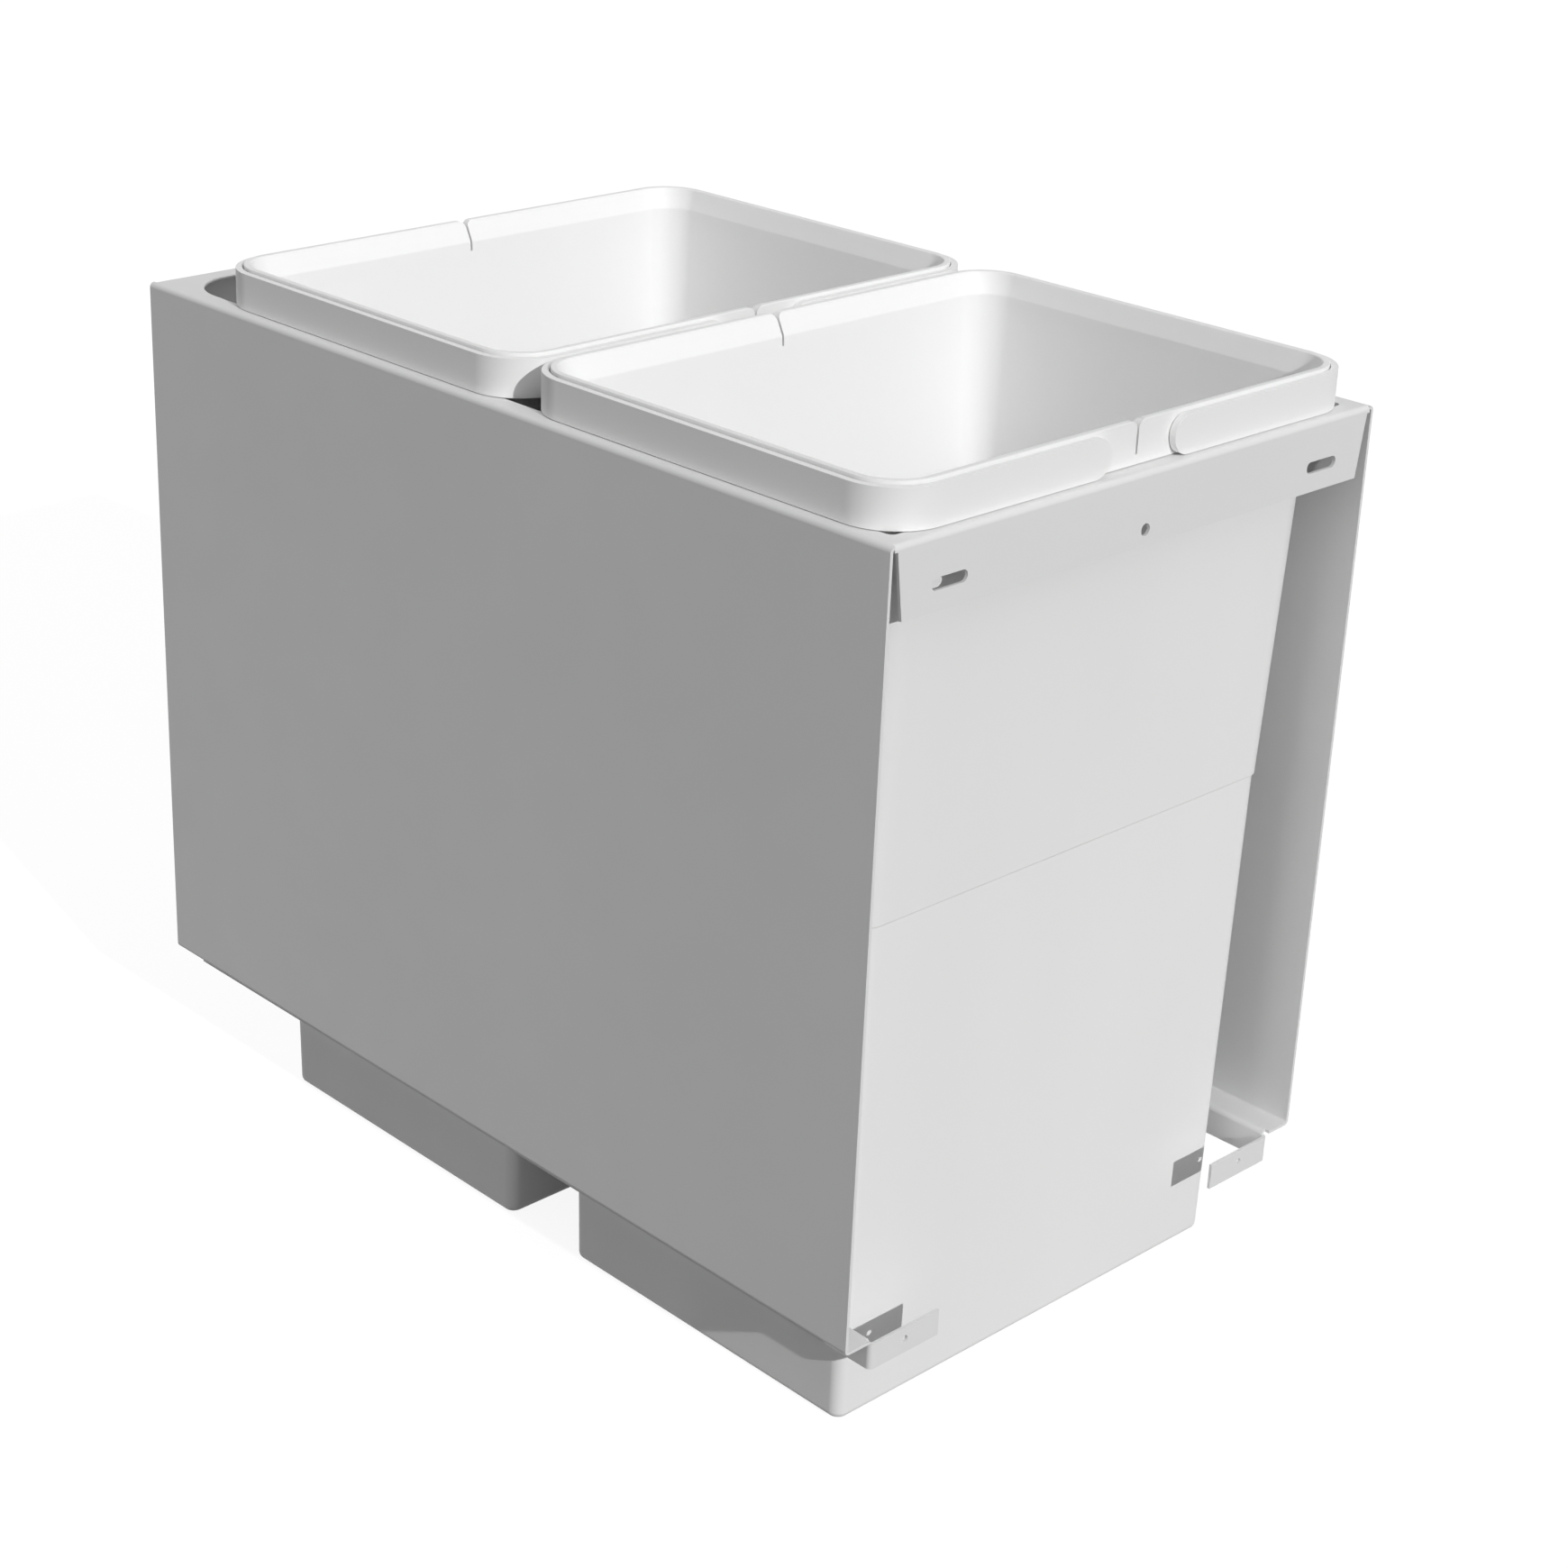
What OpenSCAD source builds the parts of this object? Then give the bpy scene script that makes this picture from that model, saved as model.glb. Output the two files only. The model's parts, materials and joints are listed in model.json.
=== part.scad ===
// Pull-out waste bin unit: a folded sheet-steel carrier on two concealed ball runners,
// with two lift-out bins that hang in one deck opening and two swing-up bails on each bin.
// Millimetres. X is the width, Y the depth with the front at -Y, Z up from the bins' feet.

/* [Carrier] */
// Width over the two side panels
carrier_w = 306; // [280:1:360]
// Depth from the front flange to the rear flange
carrier_d = 500; // [485:1:560]
// Height of the side panels
carrier_h = 362; // [320:1:420]
// How far the bins reach below the side panels
bin_drop = 60; // [45:1:90]
// Thickness of the sheet steel
sheet_t = 1.5; // [1:0.1:2]
// Inner radius of each bend
bend_r = 1; // [0.5:0.1:2]
// Height of the front and rear flanges
flange_h = 32; // [30:1:45]
// How far a flange end draws in from top to bottom
flange_taper = 4; // [1:0.5:8]
// Width of the shelf folded in along the foot of each side panel
shelf_w = 15.7; // [14:0.1:17]
// Height of the lip folded down from the shelf
lip_h = 13.9; // [11:0.1:20]
// Reach of a front tab, measured from its lip
tab_l = 42.7; // [30:0.1:60]

/* [Deck opening] */
// Width of the deck strip behind the opening
opening_rear = 10.5; // [8:0.5:20]
// Radius of the two front corners
opening_front_r = 3; // [1:0.5:12]
// Radius of the two rear corners
opening_rear_r = 30; // [10:1:40]

/* [Front fixing holes] */
// Length of each slot
slot_l = 20.5; // [12:0.5:30]
// Width of each slot
slot_w = 5.3; // [4:0.1:7]
// Distance of a slot's centre from the carrier's side
slot_inset = 34.5; // [25:0.5:60]
// Distance of the slots' centre line below the deck
slot_drop = 20.7; // [14:0.1:24]
// Diameter of the centre hole
centre_hole_d = 5.5; // [4:0.1:7]
// Distance of the centre hole below the deck
centre_hole_drop = 25.3; // [14:0.1:26]
// Diameter of the hole in each front tab
tab_hole_d = 3.2; // [2.5:0.1:5]
// Distance of a tab hole from its lip
tab_hole_inset = 21.6; // [12:0.1:26]

/* [Bins] */
// Length of a bin over its skirt, front to back
skirt_l = 214.8; // [190:0.1:225]
// Distance of a bin's skirt from the carrier's side
skirt_inset = 9.1; // [8:0.1:12]
// Distance of the front bin's skirt behind the carrier's front
skirt_setback = 8.3; // [7:0.1:12]
// Width of the deck edge that carries a skirt
skirt_rest = 1.2; // [0.8:0.1:1.6]
// Height of the rim above the deck
rim_rise = 19.5; // [16:0.1:30]
// Outer corner radius of the skirt
skirt_r = 22; // [18:0.5:30]
// Wall thickness
wall_t = 2; // [1.6:0.1:2.4]
// Width of the rim's top
rim_t = 3.5; // [3:0.1:4.5]
// Depth of the flared collar inside the rim
collar_h = 10; // [7:0.5:14]
// Distance of the wall inside the skirt's outer face, at each side
side_groove = 4.8; // [4.4:0.1:7]
// Distance of the wall inside the skirt's outer face, at the front and rear
end_groove = 6.1; // [5.6:0.1:8]
// How far each wall leans in from the collar down to the step line
upper_lean = 7.7; // [6.5:0.1:12]
// How far the wall steps in at the step line
step_in = 1; // [0.5:0.1:2]
// How far each wall leans in from the step line down to the foot
lower_lean = 3.4; // [2:0.1:6]
// Height of the step line above the foot
step_z = 244.5; // [150:0.5:300]
// Corner radius of the wall at the collar
mouth_r = 18; // [14:0.5:20]
// Corner radius of the wall below the step line
step_r = 8; // [5:0.5:14]
// Corner radius of the wall at the foot
foot_r = 6; // [4:0.5:12]
// Rounding of the foot's outer edge
foot_edge = 3.5; // [2:0.5:5]
// Thickness of the base
base_t = 2.5; // [2:0.1:4]
// Height of the recess under the base
recess_h = 1.5; // [1:0.1:3]
// Width of the ring that the bin stands on
foot_ring = 12; // [8:1:20]
// Width of the bag slit in the front and rear rims
slit_w = 1.2; // [0.8:0.1:3]
// Height of the bag slit
slit_h = 14.6; // [12:0.1:16]
// Radius that opens the slit into the rim's top
slit_mouth_r = 3.4; // [1:0.1:5]

/* [Bails] */
// Thickness of a bail's band
bail_t = 3; // [2.5:0.1:4]
// Distance of a bail's top below the rim's top
bail_drop = 1.5; // [1:0.1:4]
// Distance of a bail's pivot from the middle of the bin
bail_pivot_x = 29; // [22:0.5:45]
// Diameter of the pivot pin
pin_d = 5; // [4:0.1:6]
// Length of a pin past the inside of the skirt
pin_tail = 1.8; // [1:0.1:2.2]

/* [Runners] */
// Length of each ball runner, which is also its full travel
runner_l = 400; // [350:10:410]
// Distance of the runners behind the carrier's front
runner_setback = 60; // [50:1:66]
// Height of the fixed member
runner_h = 35; // [32:1:45]
// Thickness over all three members
runner_t = 12.7; // [12:0.1:13.5]
// Thickness of the members' steel
member_t = 1.2; // [1:0.1:1.4]
// Depth of the tracks that the balls run in
track_depth = 0.4; // [0.2:0.1:0.6]
// Diameter of the balls
ball_d = 3.2; // [3:0.1:3.5]
// Number of balls in each row
ball_count = 10; // [6:1:14]
// Distance between the balls in a row
ball_pitch = 16; // [8:0.5:18]
// Thickness of the cages' sheet
cage_t = 0.5; // [0.4:0.05:0.6]
// Thickness of the support rail's web
rail_t = 2; // [1.6:0.1:2.4]
// How far the support rail reaches below the carrier's lip
rail_drop = 2.3; // [1.5:0.1:5]
// Height of the support rail's thick foot
rail_foot_h = 8.2; // [6:0.1:10]
// Diameter of the tapped holes under the support rails
tap_d = 3.3; // [2.5:0.1:3.6]
// Depth of the tapped holes
tap_l = 7.2; // [4:0.1:7.5]
// Diameter of the rivets that hold a fixed member to its rail
rivet_d = 4; // [3:0.1:5]
// Diameter of the screws that hold a carrier member to its side panel
screw_d = 3.2; // [2.5:0.1:4]
// Diameter of the threaded bosses on the side panels
boss_d = 8; // [6:0.5:12]
// Length of the rubber stop behind each runner
buffer_l = 8; // [5:0.5:14]

/* [Clearances] */
// Gap between a bin and the deck that it hangs on
seat_gap = 0.4; // [0.2:0.1:0.8]
// Gap between a bail and the skirt that it wraps
bail_gap = 0.8; // [0.6:0.1:1.2]
// Gap between the bails of neighbouring bins
bin_gap = 2.6; // [1:0.1:6]
// Radial clearance of a pin that turns in its hole
pin_clear = 0.08; // [0.03:0.01:0.1]
// Radial clearance of a screw or rivet in its hole
screw_clear = 0.05; // [0.03:0.01:0.1]
// Gap between a screw's tip and the side panel
tip_gap = 0.2; // [0.1:0.1:0.5]
// Gap between a ball and its tracks or its cage
ball_gap = 0.1; // [0.05:0.05:0.15]
// Gap between neighbouring sheets that slide inside a runner
slide_gap = 0.3; // [0.2:0.05:0.4]
// Gap between a support rail and the carrier's lip
rail_gap = 1; // [0.6:0.1:1.5]
// Gap between a runner and the carrier's shelf below it
shelf_gap = 2; // [1:0.5:5]
// Gap between a support rail's foot and the bins
bin_rail_gap = 0.9; // [0.5:0.1:1.5]
// Gap between a rubber stop and the carrier's runner
stop_gap = 0.3; // [0.2:0.1:0.6]

/* [Hidden] */

// Smoothness of the true arcs, and steps in each lofted corner of a bin
$fn = 48;
corner_steps = 6;
// Overrun of every cut past the face that it opens
over = sheet_t;

// Levels and planes of the carrier
half_w = carrier_w / 2;
front_y = -carrier_d / 2;
rear_y = carrier_d / 2;
shelf_z = bin_drop;
deck_z = bin_drop + carrier_h;
bend_out = bend_r + sheet_t;
panel_x = half_w - sheet_t;
lip_x = half_w - shelf_w;
lip_z = shelf_z - lip_h;
tab_hole_z = (lip_z + shelf_z) / 2;
opening_hw = half_w - skirt_inset - skirt_rest;
opening_front_y = front_y + skirt_setback + skirt_rest;
opening_rear_y = rear_y - opening_rear;

// Levels of a bin
rim_z = deck_z + rim_rise;
skirt_z = deck_z + seat_gap;
collar_z = rim_z - collar_h;
web_z = rim_z - 1.6 * wall_t;
floor_z = recess_h + base_t;

// Outlines of a bin, from the rim down: half width, half length and corner radius
skirt = [half_w - skirt_inset, skirt_l / 2, skirt_r];
mouth = [skirt[0] - side_groove, skirt[1] - end_groove, mouth_r];
step = [mouth[0] - upper_lean - step_in, mouth[1] - upper_lean - step_in, step_r];
foot = [step[0] - lower_lean, step[1] - lower_lean, foot_r];
recess = [foot[0] - foot_edge - foot_ring, foot[1] - foot_edge - foot_ring, foot_r];

// Roundings of a bin: the rim's edge, the inset of a round edge at its middle, the least radius
rim_edge = wall_t / 2;
edge_share = 1 - sqrt(0.5);
least_r = wall_t / 4;

// Places of the bins and their bails
bail_out = bail_gap + bail_t;
bin_pitch = skirt_l + 2 * bail_out + bin_gap;
front_bin_y = front_y + skirt_setback + skirt_l / 2;
rear_bin_y = front_bin_y + bin_pitch;
bail_z = deck_z + seat_gap;
bail_h = rim_z - bail_drop - bail_z;
bail_mid_z = bail_z + bail_h / 2;

// Places of the right runner and its support rail
rail_out_x = lip_x - sheet_t - rail_gap;
rail_x = rail_out_x - rail_t;
rail_z = lip_z - rail_drop;
rail_foot_x = foot[0] + lower_lean * (rail_z + rail_foot_h) / step_z + bin_rail_gap;
tap_x = (rail_foot_x + rail_out_x) / 2;
runner_z = shelf_z + sheet_t + shelf_gap + runner_h / 2;
rail_top_z = runner_z + runner_h / 2 + shelf_gap;
runner_y0 = front_y + runner_setback;
runner_y1 = runner_y0 + runner_l;
runner_mid_y = (runner_y0 + runner_y1) / 2;
rail_y0 = runner_y0 - buffer_l;
rail_y1 = runner_y1 + 2 * buffer_l;
boss_x = rail_out_x + runner_t;

// The runner's section: u runs outwards from the rail, v up and down from the middle line
ball_r = ball_d / 2;
track_r = ball_r + ball_gap;
track_in = track_r - track_depth;
fixed_hh = runner_h / 2;
outer_ball_v = fixed_hh - member_t - track_in;
middle_hh = outer_ball_v - track_in;
inner_ball_v = middle_hh - member_t - track_in;
carrier_hh = inner_ball_v - track_in;
outer_cage_u = member_t + slide_gap;
middle_u = outer_cage_u + cage_t + slide_gap;
inner_cage_u = middle_u + member_t + slide_gap;
carrier_u = inner_cage_u + cage_t + slide_gap;
fixed_reach = runner_t - member_t - slide_gap;
middle_reach = fixed_reach - slide_gap;
outer_ball_u = (middle_u + middle_reach) / 2;
inner_ball_u = (carrier_u + runner_t) / 2;
cage_l = ball_count * ball_pitch;
member_lip = ball_r / 2;

// Fixings of the runner, placed along it as shares of its length
screw_shares = [0.1, 0.5, 0.9];
rivet_shares = [0.06, 0.35, 0.65, 0.94];
tap_shares = [0.08, 0.92];
screw_head_h = 0.6 * screw_d;
rivet_sunk_h = 0.75 * member_t;
rivet_head_h = 0.2 * rivet_d;

// Colours
powder_white = [0.9, 0.9, 0.9];
moulded_white = [0.94, 0.94, 0.93];
zinc = [0.72, 0.73, 0.75];
extrusion = [0.78, 0.79, 0.8];
ball_steel = [0.6, 0.61, 0.63];
cage_grey = [0.55, 0.56, 0.58];
rubber_grey = [0.2, 0.2, 0.21];

// Shapes used by several pieces

// A rectangle given by two opposite corners, in any order
module span(x0, y0, x1, y1) {
    translate([min(x0, x1), min(y0, y1)]) square([abs(x1 - x0), abs(y1 - y0)]);
}

// A centred rectangle with round corners
module round_rect(hw, hl, r) {
    span(-hw, r - hl, hw, hl - r);
    span(r - hw, -hl, hw - r, hl);
    for (sx = [-1, 1]) {
        for (sy = [-1, 1]) {
            translate([sx * (hw - r), sy * (hl - r)]) circle(r);
        }
    }
}

// Section of a square bend, in the quadrant that sx and sy point to from its centre
module bend_quarter(sx, sy) {
    intersection() {
        difference() {
            circle(bend_out);
            circle(bend_r);
        }
        span(0, 0, sx * bend_out, sy * bend_out);
    }
}

// A section in X and Z drawn out along Y
module along_y(y0, y1) {
    translate([0, y1, 0]) rotate([90, 0, 0]) linear_extrude(y1 - y0) children();
}

// A section in Y and Z drawn out along X
module along_x(x0, x1) {
    translate([x0, 0, 0]) rotate([90, 0, 90]) linear_extrude(x1 - x0) children();
}

// The children, drawn for the right side, on the side that is asked for
module on_side(side) {
    if (side > 0) children();
    else mirror([1, 0, 0]) children();
}

// The children, drawn for the right side, on both sides
module both_sides() {
    on_side(1) children();
    on_side(-1) children();
}

// A round bar or hole that runs from x0 outwards along X
module peg(x0, y, z, length, r) {
    translate([x0, y, z]) rotate([0, 90, 0]) cylinder(h = length, r = r);
}

// Carrier

// Section of half the deck, the right side panel, its shelf and its lip
module side_section() {
    span(0, deck_z - sheet_t, half_w - bend_out, deck_z);
    translate([half_w - bend_out, deck_z - bend_out]) bend_quarter(1, 1);
    span(panel_x, shelf_z + bend_out, half_w, deck_z - bend_out);
    translate([half_w - bend_out, shelf_z + bend_out]) bend_quarter(1, -1);
    span(lip_x + bend_r, shelf_z, half_w - bend_out, shelf_z + sheet_t);
    translate([lip_x + bend_r, shelf_z - bend_r]) bend_quarter(-1, 1);
    span(lip_x - sheet_t, lip_z, lip_x, shelf_z - bend_r);
}

// The deck and both side panels with their shelves and lips, notched where a flange or tab folds
module folded_body() {
    difference() {
        along_y(front_y, rear_y) {
            side_section();
            mirror([1, 0]) side_section();
        }
        for (end_y = [front_y, rear_y]) {
            translate([0, end_y, deck_z]) {
                cube([2 * (half_w - bend_out), 2 * bend_out, 2 * bend_out], center = true);
            }
        }
        both_sides() {
            translate([lip_x - sheet_t - over, front_y - over, lip_z - over]) {
                cube([sheet_t + bend_r + over, bend_out + over, lip_h + sheet_t + 2 * over]);
            }
        }
    }
}

// The flange folded down from the deck's front edge, drawn in at its ends towards the bottom
module front_flange() {
    top_hw = half_w - bend_out;
    top_z = deck_z - bend_out;
    low_hw = top_hw - flange_taper;
    low_z = deck_z - flange_h;
    along_x(-top_hw, top_hw) {
        translate([front_y + bend_out, top_z]) bend_quarter(-1, 1);
    }
    along_y(front_y, front_y + sheet_t) {
        polygon([[-top_hw, top_z], [top_hw, top_z], [low_hw, low_z], [-low_hw, low_z]]);
    }
}

// The tab that turns in from the front end of the right lip
module front_tab() {
    translate([0, 0, lip_z]) {
        linear_extrude(shelf_z - bend_r - lip_z) {
            translate([lip_x - bend_out, front_y + bend_out]) bend_quarter(1, -1);
            span(lip_x - tab_l, front_y, lip_x - bend_out, front_y + sheet_t);
        }
    }
}

// The opening in the deck that both bins hang in
module deck_opening() {
    corners = [
        [opening_front_y, opening_front_r, 1],
        [opening_rear_y, opening_rear_r, -1]
    ];
    translate([0, 0, deck_z - sheet_t - over]) {
        linear_extrude(sheet_t + 2 * over) {
            span(
                -opening_hw, opening_front_y + opening_front_r,
                opening_hw, opening_rear_y - opening_rear_r
            );
            for (corner = corners) {
                r = corner[1];
                centre_y = corner[0] + corner[2] * r;
                span(r - opening_hw, corner[0], opening_hw - r, centre_y);
                for (s = [-1, 1]) {
                    translate([s * (opening_hw - r), centre_y]) circle(r);
                }
            }
        }
    }
}

// One slot, its length along X
module slot() {
    half_l = (slot_l - slot_w) / 2;
    span(-half_l, -slot_w / 2, half_l, slot_w / 2);
    for (s = [-1, 1]) {
        translate([s * half_l, 0]) circle(d = slot_w);
    }
}

// The slots, the centre hole and the tab holes, bored along Y from the front
module front_holes() {
    along_y(front_y - over, front_y + bend_out) {
        for (s = [-1, 1]) {
            translate([s * (half_w - slot_inset), deck_z - slot_drop]) slot();
            translate([s * (lip_x - tab_hole_inset), tab_hole_z]) circle(d = tab_hole_d);
        }
        translate([0, deck_z - centre_hole_drop]) circle(d = centre_hole_d);
    }
}

module carrier_frame() {
    color(powder_white) difference() {
        union() {
            folded_body();
            front_flange();
            mirror([0, 1, 0]) front_flange();
            both_sides() front_tab();
        }
        deck_opening();
        front_holes();
    }
}

// Bins

// An outline grown outwards, or drawn in where out is negative, at height z
function level(outline, out, z) =
    [outline[0] + out, outline[1] + out, max(outline[2] + out, least_r), z];

// Points round one level, counter-clockwise from the +X side
function level_points(v) = [
    for (q = [0 : 3])
        let (sx = q == 0 || q == 3 ? 1 : -1, sy = q < 2 ? 1 : -1)
            for (i = [0 : corner_steps])
                let (a = 90 * (q + i / corner_steps))
                    [sx * (v[0] - v[2]) + v[2] * cos(a), sy * (v[1] - v[2]) + v[2] * sin(a), v[3]]
];

// A closed skin through all levels in order, capped at the first and the last
module loft(levels) {
    n = 4 * (corner_steps + 1);
    last = len(levels) - 1;
    sides = [
        for (k = [0 : last - 1])
            for (i = [0 : n - 1])
                [k * n + i, (k + 1) * n + i, (k + 1) * n + (i + 1) % n, k * n + (i + 1) % n]
    ];
    first_cap = [for (i = [0 : n - 1]) i];
    last_cap = [for (i = [n - 1 : -1 : 0]) last * n + i];
    polyhedron(
        points = [for (v = levels) each level_points(v)],
        faces = concat([first_cap], sides, [last_cap]),
        convexity = 8
    );
}

// A bin's wall as one path: under the base, up the outside, over the rim, down the inside
bin_path = [
    level(recess, 0, recess_h),
    level(recess, recess_h, 0),
    level(foot, -foot_edge, 0),
    level(foot, -foot_edge * edge_share, foot_edge * edge_share),
    level(foot, 0, foot_edge),
    level(step, 0, step_z),
    level(step, step_in, step_z + step_in),
    level(mouth, 0, collar_z),
    level(skirt, -1.5 * wall_t, web_z),
    level(skirt, -wall_t, web_z),
    level(skirt, -wall_t, skirt_z),
    level(skirt, 0, skirt_z),
    level(skirt, 0, rim_z - rim_edge),
    level(skirt, -rim_edge * edge_share, rim_z - rim_edge * edge_share),
    level(skirt, -rim_edge, rim_z),
    level(skirt, rim_edge - rim_t, rim_z),
    level(skirt, rim_edge * edge_share - rim_t, rim_z - rim_edge * edge_share),
    level(skirt, -rim_t, rim_z - rim_edge),
    level(mouth, -wall_t, collar_z),
    level(step, step_in - wall_t, step_z + step_in),
    level(step, -wall_t, step_z),
    level(foot, -wall_t, floor_z + foot_edge),
    level(foot, -wall_t - foot_edge * edge_share, floor_z + foot_edge * edge_share),
    level(foot, -wall_t - foot_edge, floor_z)
];

// The slit that a bag's edge is tucked into, with its rounded mouth, through the front and rear rims
module bag_slit() {
    mouth_hw = slit_w / 2 + slit_mouth_r;
    mouth_z = rim_z - rim_edge * edge_share - slit_mouth_r;
    along_y(-skirt[1] - over, skirt[1] + over) {
        span(-slit_w / 2, rim_z - slit_h, slit_w / 2, rim_z + over);
        difference() {
            span(-mouth_hw, mouth_z, mouth_hw, rim_z + over);
            for (s = [-1, 1]) {
                translate([s * mouth_hw, mouth_z]) circle(slit_mouth_r);
            }
        }
    }
}

// The holes in the front and rear skirts that the bails' pins turn in
module pin_holes() {
    for (sx = [-1, 1]) {
        for (sy = [-1, 1]) {
            translate([sx * bail_pivot_x, sy * (skirt[1] - wall_t / 2), bail_mid_z]) {
                rotate([90, 0, 0]) {
                    cylinder(h = 2 * wall_t, d = pin_d + 2 * pin_clear, center = true);
                }
            }
        }
    }
}

module bin_at(y) {
    color(moulded_white) translate([0, y, 0]) difference() {
        loft(bin_path);
        bag_slit();
        pin_holes();
    }
}

module front_bin() {
    bin_at(front_bin_y);
}

module rear_bin() {
    bin_at(rear_bin_y);
}

// Bails

// The right bail round a bin at the origin: half of a band with round ends and two inward pins
module right_bail() {
    in_hw = skirt[0] + bail_gap;
    in_hl = skirt[1] + bail_gap;
    in_r = skirt[2] + bail_gap;
    intersection() {
        translate([0, 0, bail_z]) {
            linear_extrude(bail_h) {
                difference() {
                    round_rect(in_hw + bail_t, in_hl + bail_t, in_r + bail_t);
                    round_rect(in_hw, in_hl, in_r);
                }
            }
        }
        along_y(-in_hl - bail_t - over, in_hl + bail_t + over) {
            span(bail_pivot_x, bail_z - over, in_hw + bail_t + over, bail_z + bail_h + over);
            translate([bail_pivot_x, bail_mid_z]) circle(d = bail_h);
        }
    }
    for (s = [-1, 1]) {
        translate([bail_pivot_x, s * (in_hl + bail_t / 2), bail_mid_z]) {
            rotate([s * 90, 0, 0]) {
                cylinder(h = bail_t / 2 + bail_gap + wall_t + pin_tail, d = pin_d);
            }
        }
    }
}

module bail_at(y, side) {
    color(moulded_white) translate([0, y, 0]) on_side(side) right_bail();
}

module front_bin_left_bail() {
    bail_at(front_bin_y, -1);
}

module front_bin_right_bail() {
    bail_at(front_bin_y, 1);
}

module rear_bin_left_bail() {
    bail_at(rear_bin_y, -1);
}

module rear_bin_right_bail() {
    bail_at(rear_bin_y, 1);
}

// Runners

// A place along the runner, from its share of the length
function along(share) = runner_y0 + runner_l * share;

// A section in u and v drawn out along Y
module runner_section(y0, y1) {
    along_y(y0, y1) {
        translate([rail_out_x, runner_z]) children();
    }
}

// The upper and lower tracks of one row of balls each, as round bars to cut from a section
module tracks(ball_u, ball_v) {
    for (s = [-1, 1]) {
        translate([ball_u, s * ball_v]) circle(track_r);
    }
}

// Section of a member: a web, two flanges, and lips that turn in or out at the flanges' ends
module member_section(web_u, far_u, half_h, lip_in, lip_out) {
    span(web_u, -half_h, web_u + member_t, half_h);
    for (s = [-1, 1]) {
        span(web_u, s * (half_h - member_t), far_u, s * half_h);
        span(far_u - member_t, s * (half_h - member_t - lip_in), far_u, s * (half_h + lip_out));
    }
}

// The extruded rail that stands in the slot between the carrier's lip and the bins
module support_rail(side) {
    color(extrusion) on_side(side) difference() {
        along_y(rail_y0, rail_y1) {
            span(rail_x, rail_z, rail_out_x, rail_top_z);
            span(rail_foot_x, rail_z, rail_out_x, rail_z + rail_foot_h);
        }
        for (share = rivet_shares) {
            peg(rail_x - over, along(share), runner_z, rail_t + 2 * over, rivet_d / 2 + screw_clear);
        }
        for (share = tap_shares) {
            translate([tap_x, along(share), rail_z - over]) cylinder(h = tap_l + over, d = tap_d);
        }
    }
}

// The shank and sunk end of one rivet, or the hole for it when grown by a clearance
module rivet_shank(y, grow) {
    r = rivet_d / 2 + grow;
    sunk_x = rail_out_x + member_t - rivet_sunk_h;
    peg(rail_x, y, runner_z, rail_t + member_t, r);
    translate([sunk_x, y, runner_z]) rotate([0, 90, 0]) {
        cylinder(h = rivet_sunk_h, r1 = r, r2 = r + rivet_sunk_h);
    }
}

module rail_rivets(side) {
    color(zinc) on_side(side) {
        for (share = rivet_shares) {
            rivet_shank(along(share), 0);
            peg(rail_x - rivet_head_h, along(share), runner_z, rivet_head_h, rivet_d);
        }
    }
}

// The rubber block that stops the carrier when it closes
module stop_buffer(side) {
    y0 = runner_y1 + stop_gap;
    color(rubber_grey) on_side(side) {
        runner_section(y0, y0 + buffer_l) span(0, -carrier_hh, fixed_reach, carrier_hh);
    }
}

module fixed_member(side) {
    color(zinc) on_side(side) difference() {
        runner_section(runner_y0, runner_y1) difference() {
            member_section(0, fixed_reach, fixed_hh, member_lip, 0);
            tracks(outer_ball_u, outer_ball_v);
        }
        for (share = rivet_shares) {
            rivet_shank(along(share), screw_clear);
        }
    }
}

module middle_member(side) {
    color(zinc) on_side(side) {
        runner_section(runner_y0, runner_y1) difference() {
            member_section(middle_u, middle_reach, middle_hh, 0, member_lip / 2);
            tracks(outer_ball_u, outer_ball_v);
            tracks(inner_ball_u, inner_ball_v);
        }
    }
}

// The inner channel, open towards the rail, with its web against the side panel's bosses
module carrier_member(side) {
    color(zinc) on_side(side) difference() {
        runner_section(runner_y0, runner_y1) difference() {
            union() {
                span(runner_t - member_t, -carrier_hh, runner_t, carrier_hh);
                for (s = [-1, 1]) {
                    span(carrier_u, s * (carrier_hh - member_t), runner_t, s * carrier_hh);
                }
            }
            tracks(inner_ball_u, inner_ball_v);
        }
        for (share = screw_shares) {
            peg(boss_x - member_t - over, along(share), runner_z,
                member_t + 2 * over, screw_d / 2 + screw_clear);
        }
    }
}

// Threaded bosses that stand on the inner face of a side panel
module panel_bosses(side) {
    boss_l = panel_x - boss_x;
    color(zinc) on_side(side) {
        for (share = screw_shares) {
            difference() {
                peg(boss_x, along(share), runner_z, boss_l, boss_d / 2);
                peg(boss_x - over, along(share), runner_z,
                    boss_l + 2 * over, screw_d / 2 + screw_clear);
            }
        }
    }
}

module member_screws(side) {
    head_x = boss_x - member_t;
    color(zinc) on_side(side) {
        for (share = screw_shares) {
            peg(head_x, along(share), runner_z, panel_x - tip_gap - head_x, screw_d / 2);
            peg(head_x - screw_head_h, along(share), runner_z, screw_head_h, screw_d);
        }
    }
}

// Centres of the balls in one row, along Y
function ball_ys() = [
    for (i = [0 : ball_count - 1]) runner_mid_y + ball_pitch * (i - (ball_count - 1) / 2)
];

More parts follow.
